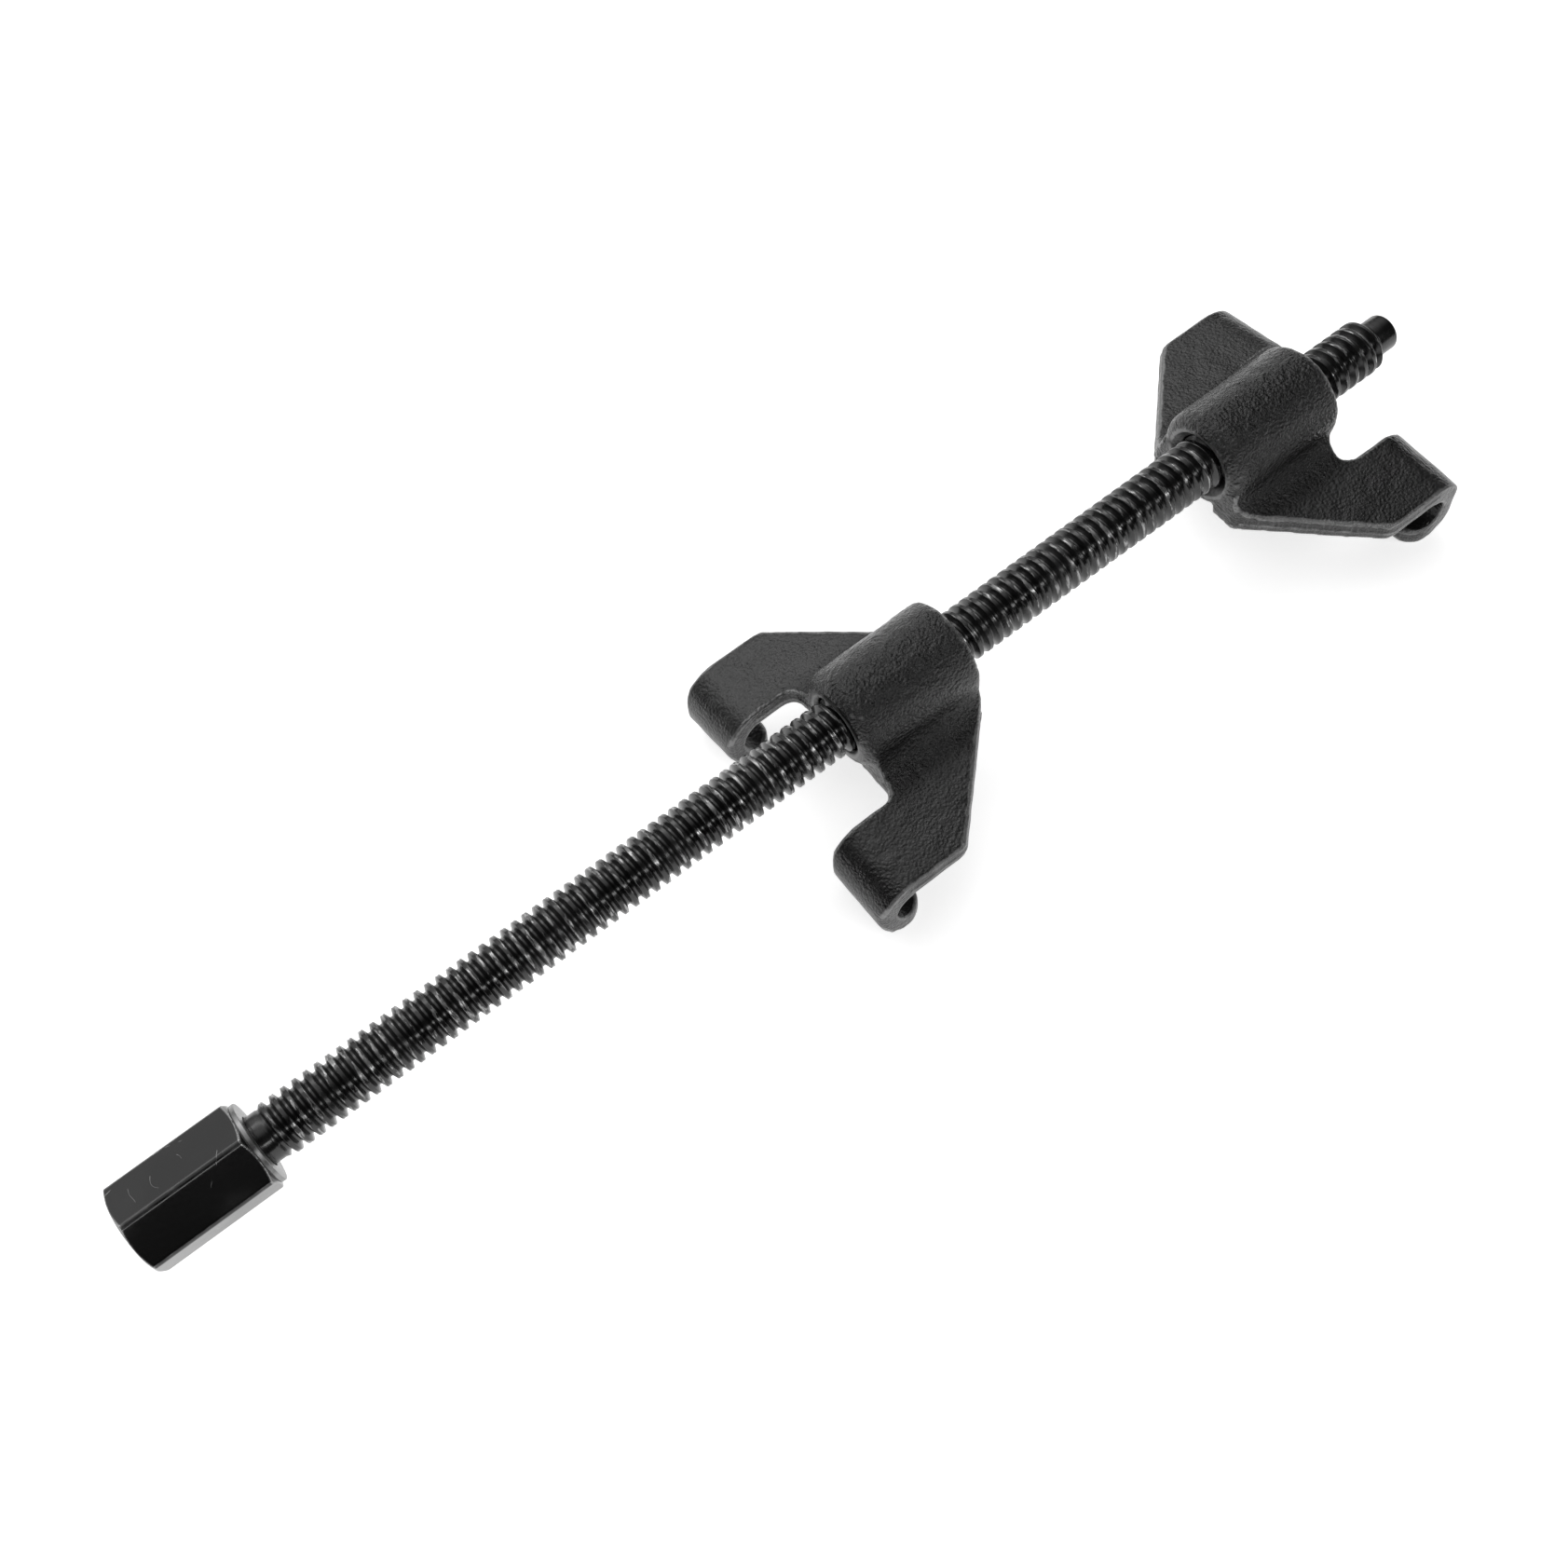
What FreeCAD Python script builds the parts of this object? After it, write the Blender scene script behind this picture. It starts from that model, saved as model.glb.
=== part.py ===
import FreeCAD, Part
import math
import os

# Coil spring compressor: one threaded spindle with a long drive hex, a thrust washer,
# a plain-bored jaw that slides on the thread and a tapped jaw that the thread pulls along.
# Millimetres. X runs along the spindle from the hex (-X) to the free end (+X), Z is up,
# and the tool lies on the lips of its four hooks at Z = 0.

V = FreeCAD.Vector

# Spindle
overallLength = 370.0
threadDia = 14.0
threadPitch = 3.0
threadDepth = 1.5
rootShare = 0.2
crestShare = 0.36
neckLength = 4.0
dogStep = 0.75
dogLength = 6.0
dogRim = 0.8
endChamferSlope = 1.05
chamferOverrun = 0.1

# Drive hex
hexFlats = 21.0
hexLength = 32.0
hexSocketDepth = 24.0
hexChamferAngle = 27.0
hexFaceInset = 0.3
hexTurn = 15.0

# Thrust washer
washerInset = 0.2
washerThickness = 1.2
washerEdge = 0.24
washerClearance = 0.3

# Jaw forging, the same for both jaws
barrelDia = 26.0
barrelLength = 34.0
hexSideRound = 4.2
farSideRound = 1.6
wingThickness = 5.4
wingDrop = 7.8
wingSlope = 6.0
wingBackReach = 13.6
wingBackRound = 1.5
wingCornerRound = 3.0
wingReach = 39.6
wingCornerX = 27.5
wingInset = 0.7
webFillet = 6.5
underFillet = 3.0
lobeWidth = 20.0
noseReach = 18.8
noseOuterRadius = 10.4
noseCornerRadius = 2.5
lipThickness = 4.8
lipReturn = 1.5
lipCornerRadius = 7.0
notchSetback = 2.0
notchRadius = 3.6

# Bores
slideClearance = 0.45
threadClearance = 0.22
boreRelief = 0.15
slideMouthFlare = 1.5
tappedMouthFlare = 2.5
farMouthFlare = 1.0

# Stored positions, measured from the hex shoulder
freeJawStart = 163.0
tappedJawStart = 276.0

threadRadius = threadDia / 2
rootRadius = threadRadius - threadDepth
rootFlat = rootShare * threadPitch
crestFlat = crestShare * threadPitch
flankRun = (threadPitch - rootFlat - crestFlat) / 2
shankRadius = threadRadius - threadDepth / 2
dogRadius = rootRadius - dogStep
barrelRadius = barrelDia / 2
shoulderX = -overallLength / 2 + hexLength


# ---- Outlines -------------------------------------------------------------------------

def roundedWire(corners):
    """Closed wire in the XY plane from (x, y, radius) corners."""
    edges = []
    cuts = []
    count = len(corners)
    for i in range(count):
        x, y, radius = corners[i]
        here = V(x, y, 0)
        before = V(corners[i - 1][0], corners[i - 1][1], 0)
        after = V(corners[(i + 1) % count][0], corners[(i + 1) % count][1], 0)
        inDir = (before - here).normalize()
        outDir = (after - here).normalize()
        if radius == 0:
            cuts.append((here, None, here))
            continue
        half = inDir.getAngle(outDir) / 2
        setback = radius / math.tan(half)
        bisector = (inDir + outDir).normalize()
        middle = here + bisector * (radius / math.sin(half) - radius)
        cuts.append((here + inDir * setback, middle, here + outDir * setback))
    for i in range(count):
        start, middle, end = cuts[i]
        if middle is not None:
            edges.append(Part.Arc(start, middle, end).toShape())
        edges.append(Part.LineSegment(end, cuts[(i + 1) % count][0]).toShape())
    return Part.Wire(edges)


def revolved(points):
    """Solid turned about X from (x, radius) points that start and end on the axis."""
    polygon = Part.makePolygon([V(x, 0, r) for x, r in points + [points[0]]])
    return Part.Face(polygon).revolve(V(0, 0, 0), V(1, 0, 0), 360)


# ---- Thread ---------------------------------------------------------------------------

def threadProfile(clearance):
    """One pitch of the thread as (radius, along) points, grown outwards by a clearance."""
    flankAngle = math.atan2(flankRun, threadDepth)
    spread = clearance / math.cos(flankAngle)
    slope = flankRun / threadDepth
    root = rootRadius + clearance
    crest = threadRadius + clearance
    rootShift = spread - slope * clearance
    crestStart = rootFlat + slope * (threadDepth + clearance) - spread
    crestEnd = threadPitch + rootFlat - crestStart
    return [
        (root, rootShift),
        (root, rootFlat - rootShift),
        (crest, crestStart),
        (crest, crestEnd),
        (root, threadPitch + rootShift),
    ]


def helixEdge(radius, along):
    """One right-hand turn about Z."""
    edge = Part.makeHelix(threadPitch, threadPitch, radius).Edges[0].copy()
    edge.translate(V(0, 0, along))
    return edge


def circleEdge(radius, along):
    return Part.Edge(Part.Circle(V(0, 0, along), V(0, 0, 1), radius))


def threadedRod(firstTurn, turns, clearance=0.0):
    """Right-hand threaded rod along X, whose turns start at a whole number of pitches."""
    profile = threadProfile(clearance)
    root, start = profile[0]
    strips = []
    for (r0, a0), (r1, a1) in zip(profile[:-1], profile[1:]):
        strips.append(Part.makeRuledSurface(helixEdge(r0, a0), helixEdge(r1, a1)))
    faces = []
    for turn in range(turns):
        for strip in strips:
            face = strip.copy()
            face.translate(V(0, 0, turn * threadPitch))
            faces.append(face)
    threadEnd = turns * threadPitch
    low = start - threadPitch
    high = start + threadEnd + 2 * threadPitch
    faces.append(Part.makeRuledSurface(circleEdge(root, low), helixEdge(root, start)))
    faces.append(Part.makeRuledSurface(helixEdge(root, start + threadEnd), circleEdge(root, high)))
    for shift in (0.0, threadEnd):
        ridge = [V(r, 0, a + shift) for r, a in profile[1:]]
        faces.append(Part.Face(Part.makePolygon(ridge + [ridge[0]])))
    for along in (low, high):
        faces.append(Part.Face(Part.Wire([circleEdge(root, along)])))
    shell = Part.makeShell(faces)
    shell.sewShape()
    rod = Part.Solid(shell.Shells[0])
    rod.rotate(V(0, 0, 0), V(0, 1, 0), 90)
    rod.translate(V(firstTurn * threadPitch, 0, 0))
    return rod


# ---- Spindle group, along X with the hex shoulder at X = 0 ------------------------------

def makeSpindle():
    length = overallLength - hexLength
    threadEnd = length - dogLength
    neckEnd = washerThickness + neckLength
    turns = math.ceil(threadEnd / threadPitch)
    clear = threadRadius + threadDepth
    cone = clear - rootRadius + chamferOverrun
    envelope = revolved([
        (neckEnd - threadDepth, 0),
        (neckEnd - threadDepth, rootRadius),
        (neckEnd + threadDepth, clear),
        (threadEnd - endChamferSlope * cone, clear),
        (threadEnd, rootRadius - chamferOverrun),
        (threadEnd, 0),
    ])
    rod = threadedRod(0, turns).common(envelope)
    shank = revolved([
        (-hexSocketDepth, 0),
        (-hexSocketDepth, shankRadius),
        (neckEnd, shankRadius),
        (neckEnd + threadDepth / 2, rootRadius),
        (neckEnd + threadDepth / 2, 0),
    ])
    dogBase = V(threadEnd - threadPitch, 0, 0)
    dog = Part.makeCylinder(dogRadius, dogLength + threadPitch, dogBase, V(1, 0, 0))
    rim = [edge for edge in dog.Edges if edge.BoundBox.XMin > threadEnd]
    dog = dog.makeFillet(dogRim, rim)
    return rod.fuse([shank, dog])


def hexPrism(flats, start, length):
    radius = flats / math.sqrt(3)
    corners = []
    for i in range(7):
        angle = math.radians(60 * i)
        corners.append(V(start, radius * math.sin(angle), radius * math.cos(angle)))
    return Part.Face(Part.makePolygon(corners)).extrude(V(length, 0, 0))


def makeDriveHex():
    hexRadius = hexFlats / math.sqrt(3)
    faceRadius = hexFlats / 2 - hexFaceInset
    run = (hexRadius - faceRadius) * math.tan(math.radians(hexChamferAngle))
    turned = revolved([
        (-hexLength, 0),
        (-hexLength, faceRadius),
        (-hexLength + run, hexRadius),
        (-run, hexRadius),
        (0, faceRadius),
        (0, 0),
    ])
    body = hexPrism(hexFlats, -hexLength, hexLength).common(turned)
    socket = Part.makeCylinder(shankRadius, hexSocketDepth, V(-hexSocketDepth, 0, 0), V(1, 0, 0))
    return body.cut(socket)


def makeWasher():
    radius = hexFlats / 2 - washerInset
    inner = shankRadius + washerClearance
    edge = washerEdge
    outer = revolved([
        (0, 0),
        (0, radius - edge),
        (edge, radius),
        (washerThickness - edge, radius),
        (washerThickness, radius - edge),
        (washerThickness, 0),
    ])
    return outer.cut(Part.makeCylinder(inner, washerThickness, V(0, 0, 0), V(1, 0, 0)))


# ---- Jaw, along X with the spindle's axis as its X axis and its hooks at +X -------------

def jawOutline():
    """Plan of one wing: back edge, sloping outer edge, lobe and the notch beside the barrel."""
    innerY = barrelRadius / 2
    lobeInner = wingReach - lobeWidth
    noseX = barrelLength + noseReach
    notchX = barrelLength - notchSetback
    return [
        (wingInset, innerY, 0),
        (wingInset, wingBackReach, wingBackRound),
        (wingCornerX, wingReach, wingCornerRound),
        (noseX, wingReach, noseCornerRadius),
        (noseX, lobeInner, noseCornerRadius),
        (notchX, lobeInner, notchRadius),
        (notchX, innerY, 0),
    ]


def lipOutline():
    lobeInner = wingReach - lobeWidth
    noseX = barrelLength + noseReach
    lipX = noseX - noseOuterRadius - lipReturn - lipThickness / 2
    return [
        (lipX, wingReach, lipCornerRadius),
        (noseX, wingReach, noseCornerRadius),
        (noseX, lobeInner, noseCornerRadius),
        (lipX, lobeInner, lipCornerRadius),
    ]


def hookProfile():
    """Side view of a wing: a plate whose end curls round under itself into a lip."""
    centreX = barrelLength + noseReach - noseOuterRadius
    outer = noseOuterRadius
    throat = (2 * outer - wingThickness - lipThickness) / 2
    throatZ = -wingThickness - throat
    lipTop = -2 * outer + lipThickness
    lipX = centreX - lipReturn
    half = lipThickness / 2

    def line(x0, z0, x1, z1):
        return Part.LineSegment(V(x0, 0, z0), V(x1, 0, z1)).toShape()

    def arc(x0, z0, xm, zm, x1, z1):
        return Part.Arc(V(x0, 0, z0), V(xm, 0, zm), V(x1, 0, z1)).toShape()

    edges = [
        line(0, 0, centreX, 0),
        arc(centreX, 0, centreX + outer, -outer, centreX, -2 * outer),
        line(centreX, -2 * outer, lipX, -2 * outer),
        arc(lipX, -2 * outer, lipX - half, -2 * outer + half, lipX, lipTop),
        line(lipX, lipTop, centreX, lipTop),
        arc(centreX, lipTop, centreX + throat, throatZ, centreX, -wingThickness),
        line(centreX, -wingThickness, 0, -wingThickness),
        line(0, -wingThickness, 0, 0),
    ]
    return Part.Face(Part.Wire(edges)), throatZ


def tilted(shape):
    """Moves a shape from the level of a wing's top face to its place beside the barrel."""
    shape.rotate(V(0, 0, 0), V(1, 0, 0), -wingSlope)
    shape.translate(V(0, barrelRadius, -wingDrop))
    return shape


def prism(corners, low, high):
    face = Part.Face(roundedWire(corners))
    face.translate(V(0, 0, low))
    return face.extrude(V(0, 0, high - low))


def makeWing():
    profile, throatZ = hookProfile()
    width = wingReach + barrelRadius
    curled = profile.extrude(V(0, width, 0))
    curled.translate(V(0, -barrelRadius, 0))
    reach = 3 * noseOuterRadius
    length = barrelLength + noseReach
    upper = Part.makeBox(length, width, reach, V(0, -barrelRadius, throatZ))
    lower = Part.makeBox(length, width, reach, V(0, -barrelRadius, throatZ - reach))
    plate = tilted(curled.common(upper))
    lip = tilted(curled.common(lower))
    plate = plate.common(prism(jawOutline(), -2 * reach, reach))
    lip = lip.common(prism(lipOutline(), -2 * reach, reach))
    return plate.fuse(lip).removeSplitter()


def filletSection(side, radius):
    """Fillet between the barrel and a wing face, above (side 1) or below it (side -1)."""
    slope = math.radians(wingSlope)
    normal = V(0, math.sin(slope), math.cos(slope))
    along = V(0, math.cos(slope), -math.sin(slope))
    level = normal.dot(V(0, barrelRadius, -wingDrop))
    if side < 0:
        level = level - wingThickness
    rise = level + side * radius
    run = math.sqrt((barrelRadius + radius) ** 2 - rise ** 2)
    centre = normal * rise + along * run
    onBarrel = centre * (barrelRadius / (barrelRadius + radius))
    onWing = normal * level + along * run
    middle = (onBarrel + onWing) * 0.5 - centre
    middle = centre + middle.normalize() * radius
    inWing = onWing - normal * (side * wingThickness / 2)
    inBarrel = normal * (level - side * wingThickness / 2) + along * (barrelRadius / 2)
    edges = [
        Part.Arc(onBarrel, middle, onWing).toShape(),
        Part.LineSegment(onWing, inWing).toShape(),
        Part.LineSegment(inWing, inBarrel).toShape(),
        Part.LineSegment(inBarrel, onBarrel).toShape(),
    ]
    return Part.Face(Part.Wire(edges))


def makeWebs():
    webs = []
    outline = prism(jawOutline(), -2 * barrelRadius, 2 * barrelRadius)
    for side, radius in ((1, webFillet), (-1, underFillet)):
        web = filletSection(side, radius).extrude(V(barrelLength, 0, 0))
        webs.append(web.common(outline))
    return webs


def makeBarrel(backRound, hookSideRound):
    barrel = Part.makeCylinder(barrelRadius, barrelLength, V(0, 0, 0), V(1, 0, 0))
    hookSide = [edge for edge in barrel.Edges if edge.BoundBox.XMin > barrelLength / 2]
    barrel = barrel.makeFillet(hookSideRound, hookSide)
    back = [edge for edge in barrel.Edges if edge.BoundBox.XMax < backRound / 2]
    return barrel.makeFillet(backRound, back)


def makeForging(backRound, hookSideRound):
    pieces = [makeWing()] + makeWebs()
    mirrored = [piece.mirror(V(0, 0, 0), V(0, 1, 0)) for piece in pieces]
    barrel = makeBarrel(backRound, hookSideRound)
    return barrel.fuse(pieces + mirrored).removeSplitter()


def boreCutter(radius, backRadius, hookSideRadius):
    """Bore with a 45 degree countersink at each end, for a barrel from X = 0 to its length."""
    over = slideMouthFlare
    return revolved([
        (-over, 0),
        (-over, backRadius + over),
        (backRadius - radius, radius),
        (barrelLength - hookSideRadius + radius, radius),
        (barrelLength + over, hookSideRadius + over),
        (barrelLength + over, 0),
    ])


def makeTappedJaw():
    """Its hooks point to the free end, and its bore carries the spindle's thread."""
    minor = rootRadius + threadClearance + boreRelief
    firstTurn = math.floor(tappedJawStart / threadPitch) - 2
    turns = math.ceil(barrelLength / threadPitch) + 4
    tap = threadedRod(firstTurn, turns, threadClearance)
    jaw = makeForging(hexSideRound, farSideRound)
    jaw = jaw.cut(boreCutter(minor, threadRadius + tappedMouthFlare, threadRadius + farMouthFlare))
    jaw.translate(V(tappedJawStart, 0, 0))
    return jaw.cut(tap)


def makeFreeJaw():
    """Its hooks point to the hex, and its plain bore slides on the thread."""
    bore = threadRadius + slideClearance
    jaw = makeForging(farSideRound, hexSideRound)
    jaw = jaw.cut(boreCutter(bore, threadRadius + farMouthFlare, threadRadius + slideMouthFlare))
    jaw.rotate(V(0, 0, 0), V(0, 0, 1), 180)
    jaw.translate(V(freeJawStart + barrelLength, 0, 0))
    return jaw


# The tool rests on its hook lips, so they set the height of the spindle's axis.
axisZ = -makeForging(hexSideRound, farSideRound).optimalBoundingBox().ZMin


def placed(shape, turn=0.0):
    """Moves a shape from the spindle's own axis to its place in the tool."""
    shape.rotate(V(0, 0, 0), V(1, 0, 0), turn)
    shape.translate(V(shoulderX, 0, axisZ))
    return shape


os.makedirs("parts", exist_ok=True)
nodes = {
    "spindle": placed(makeSpindle()),
    "drive_hex": placed(makeDriveHex(), hexTurn),
    "thrust_washer": placed(makeWasher()),
    "free_jaw": placed(makeFreeJaw()),
    "threaded_jaw": placed(makeTappedJaw()),
}
for name, shape in nodes.items():
    print(name, shape.isValid(), len(shape.Solids), round(shape.Volume, 1))
    shape.exportStep("parts/" + name + ".step")
print("axis height", round(axisZ, 4))
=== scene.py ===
import math
import bpy
import bmesh
from mathutils import Matrix, Vector, noise


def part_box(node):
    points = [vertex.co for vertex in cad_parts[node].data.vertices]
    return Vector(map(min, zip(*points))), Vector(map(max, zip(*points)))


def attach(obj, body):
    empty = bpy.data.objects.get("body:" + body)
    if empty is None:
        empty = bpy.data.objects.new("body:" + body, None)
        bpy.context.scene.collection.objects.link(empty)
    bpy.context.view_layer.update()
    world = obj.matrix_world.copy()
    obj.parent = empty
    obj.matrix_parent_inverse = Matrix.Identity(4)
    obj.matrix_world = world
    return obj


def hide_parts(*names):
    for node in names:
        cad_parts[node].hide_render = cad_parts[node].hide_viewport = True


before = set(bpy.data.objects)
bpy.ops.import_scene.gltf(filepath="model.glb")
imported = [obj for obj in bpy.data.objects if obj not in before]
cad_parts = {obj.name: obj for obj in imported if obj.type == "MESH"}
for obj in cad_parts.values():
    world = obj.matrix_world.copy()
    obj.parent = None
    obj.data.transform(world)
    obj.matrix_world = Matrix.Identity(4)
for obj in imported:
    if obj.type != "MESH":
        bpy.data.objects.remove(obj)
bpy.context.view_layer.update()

# everything is placed from the hex shoulder, the tip and the height of the spindle's axis
hexLow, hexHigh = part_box("drive_hex")
shoulderX = hexHigh[0]
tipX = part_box("spindle")[1][0]
axisZ = (hexLow[2] + hexHigh[2]) / 2
mm = 0.001
weldGap = 0.01 * mm      # points closer than this are one point


# the camera stands over the right wings and looks a little towards the free end
cameraSettings = {
    "distance": 0.390,       # from the spindle's axis, metres
    "foot": 0.050,           # where it stands along the spindle, from the hex shoulder
    "lean": 8.6,             # degrees towards the free end
    "side": 26.4,            # degrees off vertical, towards the right wings
    "rise": 35.8,            # how steeply the spindle rises in the picture, degrees
    "lens": 39.25,
    "sensor": 36.0,
    "shiftX": 0.085,
    "shiftY": 0.048,
}


def addCamera(settings):
    side = math.radians(settings["side"])
    lean = math.radians(settings["lean"])
    turn = math.radians(settings["rise"])
    out = Vector((0, -math.sin(side), math.cos(side)))
    along = Vector((1, 0, 0))
    place = Vector((shoulderX + settings["foot"], 0, axisZ)) + out * settings["distance"]
    look = along * math.sin(lean) - out * math.cos(lean)
    right = (along - look * along.dot(look)).normalized()
    up = right.cross(look).normalized()
    camRight = right * math.cos(turn) - up * math.sin(turn)     # rolled, so the spindle rises to the right
    camUp = right * math.sin(turn) + up * math.cos(turn)
    data = bpy.data.cameras.new("camera")
    data.lens = settings["lens"]
    data.sensor_width = settings["sensor"]
    data.shift_x = settings["shiftX"]
    data.shift_y = settings["shiftY"]
    data.clip_start = 0.01
    camera = bpy.data.objects.new("camera", data)
    bpy.context.collection.objects.link(camera)
    camera.matrix_world = Matrix.Translation(place) @ Matrix((camRight, camUp, -look)).transposed().to_4x4()
    bpy.context.scene.camera = camera


studioSettings = {
    "floorSize": 6.0,
    "floorColour": (0.92, 0.92, 0.92, 1),
    "floorRoughness": 0.7,
    "floorGlow": 0.74,                       # a lit sweep, so the shadow stays faint
    "keyPlace": (0.05, 0.62, 0.80),
    "keySize": (1.3, 0.35),
    "keyPower": 2.6,
    "stripPlace": (0.05, -0.79, 0.68),       # glints just below the middle of the rod and the barrels
    "stripSize": (1.3, 0.18),
    "stripPower": 2.8,
    "wallAngle": 38.0,                       # where the bright wall is, degrees from straight up
    "wallEdge": (0.5, 0.92),                 # cosines between which its light fades in
    "wallGlow": 1.0,
    "roomGlow": 0.03,
    "backdrop": 0.97,
}


def addSoftbox(name, place, size, power):
    data = bpy.data.lights.new(name, "AREA")
    data.shape = "RECTANGLE"
    data.size = size[0]
    data.size_y = size[1]
    data.energy = power
    lamp = bpy.data.objects.new(name, data)
    bpy.context.collection.objects.link(lamp)
    aim = Vector((0, 0, axisZ)) - Vector(place)
    lamp.matrix_world = Matrix.Translation(place) @ aim.to_track_quat("-Z", "Y").to_matrix().to_4x4()


def addWorld(settings):
    world = bpy.data.worlds.new("studio")
    bpy.context.scene.world = world
    world.use_nodes = True
    nodes = world.node_tree.nodes
    links = world.node_tree.links
    angle = math.radians(settings["wallAngle"])
    coords = nodes.new("ShaderNodeTexCoord")
    toWall = nodes.new("ShaderNodeVectorMath")      # bright beyond the left wings, dark behind the camera
    toWall.operation = "DOT_PRODUCT"
    toWall.inputs[1].default_value = (0, math.sin(angle), math.cos(angle))
    fade = nodes.new("ShaderNodeMapRange")
    fade.interpolation_type = "SMOOTHSTEP"
    fade.inputs["From Min"].default_value = settings["wallEdge"][0]
    fade.inputs["From Max"].default_value = settings["wallEdge"][1]
    fade.inputs["To Min"].default_value = settings["roomGlow"]
    fade.inputs["To Max"].default_value = settings["wallGlow"]
    nodes["Background"].inputs["Color"].default_value = (1, 1, 1, 1)
    links.new(coords.outputs["Generated"], toWall.inputs[0])
    links.new(toWall.outputs["Value"], fade.inputs["Value"])
    path = nodes.new("ShaderNodeLightPath")         # the backdrop itself is pale from every side
    seen = nodes.new("ShaderNodeMix")
    seen.inputs["B"].default_value = settings["backdrop"]
    links.new(path.outputs["Is Camera Ray"], seen.inputs["Factor"])
    links.new(fade.outputs[0], seen.inputs["A"])
    links.new(seen.outputs[0], nodes["Background"].inputs["Strength"])


def addFloor(settings):
    bm = bmesh.new()
    bmesh.ops.create_grid(bm, x_segments=1, y_segments=1, size=settings["floorSize"] / 2)
    mesh = bpy.data.meshes.new("floor")
    bm.to_mesh(mesh)
    bm.free()
    floor = bpy.data.objects.new("floor", mesh)
    bpy.context.collection.objects.link(floor)
    material = bpy.data.materials.new("paleFloor")
    material.use_nodes = True
    shader = material.node_tree.nodes["Principled BSDF"]
    shader.inputs["Base Color"].default_value = settings["floorColour"]
    shader.inputs["Roughness"].default_value = settings["floorRoughness"]
    shader.inputs["Emission Color"].default_value = settings["floorColour"]
    shader.inputs["Emission Strength"].default_value = settings["floorGlow"]
    mesh.materials.append(material)


addCamera(cameraSettings)
addWorld(studioSettings)
addFloor(studioSettings)
for lampName in ("key", "strip"):
    lampPlace = studioSettings[lampName + "Place"]
    addSoftbox(lampName, lampPlace, studioSettings[lampName + "Size"], studioSettings[lampName + "Power"])
bpy.context.scene.view_settings.view_transform = "Standard"
print("camera and studio ready")


# small helpers for node trees, then the effects that the finishes share
def addNode(tree, kind, **values):
    node = tree.nodes.new(kind)
    for key, value in values.items():
        setattr(node, key, value)
    return node


def startGroup(name, inputs, outputs):
    group = bpy.data.node_groups.new(name, "ShaderNodeTree")
    for label, kind, value in inputs:
        made = group.interface.new_socket(label, in_out="INPUT", socket_type=kind)
        if value is not None:
            made.default_value = value
    for label, kind in outputs:
        group.interface.new_socket(label, in_out="OUTPUT", socket_type=kind)
    return group, addNode(group, "NodeGroupInput"), addNode(group, "NodeGroupOutput")


def mathNode(tree, operation, first, second=None, third=None):
    node = addNode(tree, "ShaderNodeMath", operation=operation)
    for slot, value in enumerate((first, second, third)):
        if value is None:
            continue
        if isinstance(value, (int, float)):
            node.inputs[slot].default_value = value
        else:
            tree.links.new(value, node.inputs[slot])
    return node.outputs[0]


def noiseNode(tree, vector, scale, detail=2.0, roughness=0.5):
    node = addNode(tree, "ShaderNodeTexNoise")
    tree.links.new(vector, node.inputs["Vector"])
    if isinstance(scale, (int, float)):
        node.inputs["Scale"].default_value = scale
    else:
        tree.links.new(scale, node.inputs["Scale"])
    node.inputs["Detail"].default_value = detail
    node.inputs["Roughness"].default_value = roughness
    return node.outputs["Fac"]


def rangeNode(tree, value, low, high, newLow=0.0, newHigh=1.0):
    node = addNode(tree, "ShaderNodeMapRange", interpolation_type="SMOOTHSTEP")
    tree.links.new(value, node.inputs["Value"])
    for label, number in (("From Min", low), ("From Max", high), ("To Min", newLow), ("To Max", newHigh)):
        if isinstance(number, (int, float)):
            node.inputs[label].default_value = number
        else:
            tree.links.new(number, node.inputs[label])
    return node.outputs["Result"]


pebbleMix = {
    "smoothness": 0.7,           # how far the beads run together
    "beads": 0.45,
    "fine": 0.7,
    "pits": 0.8,
    "speck": (0.62, 0.78),       # only the highest grains are lighter
}
wearBlend = {"floor": 0.25, "softness": 0.22}
scratchBlend = {"spread": 2.3, "softness": 0.04}
smudgeLimits = (0.35, 0.7)


def makePebbleGroup():
    group, start, end = startGroup(
        "pebble grain",
        [
            ("Vector", "NodeSocketVector", None),
            ("Pebble", "NodeSocketFloat", 1300.0),
            ("Pit", "NodeSocketFloat", 420.0),
        ],
        [("Height", "NodeSocketFloat"), ("Speck", "NodeSocketFloat")],
    )
    vector = start.outputs["Vector"]
    cells = addNode(group, "ShaderNodeTexVoronoi", feature="SMOOTH_F1")
    group.links.new(vector, cells.inputs["Vector"])
    group.links.new(start.outputs["Pebble"], cells.inputs["Scale"])
    cells.inputs["Smoothness"].default_value = pebbleMix["smoothness"]
    beads = mathNode(group, "SUBTRACT", 1.0, cells.outputs["Distance"])
    fine = noiseNode(group, vector, start.outputs["Pebble"], 3.0, 0.6)
    pits = noiseNode(group, vector, start.outputs["Pit"], 4.0, 0.55)
    mixed = mathNode(group, "MULTIPLY", beads, pebbleMix["beads"])
    mixed = mathNode(group, "MULTIPLY_ADD", fine, pebbleMix["fine"], mixed)
    height = mathNode(group, "MULTIPLY_ADD", pits, pebbleMix["pits"], mixed)
    group.links.new(height, end.inputs["Height"])
    group.links.new(rangeNode(group, fine, *pebbleMix["speck"]), end.inputs["Speck"])
    return group


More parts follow.
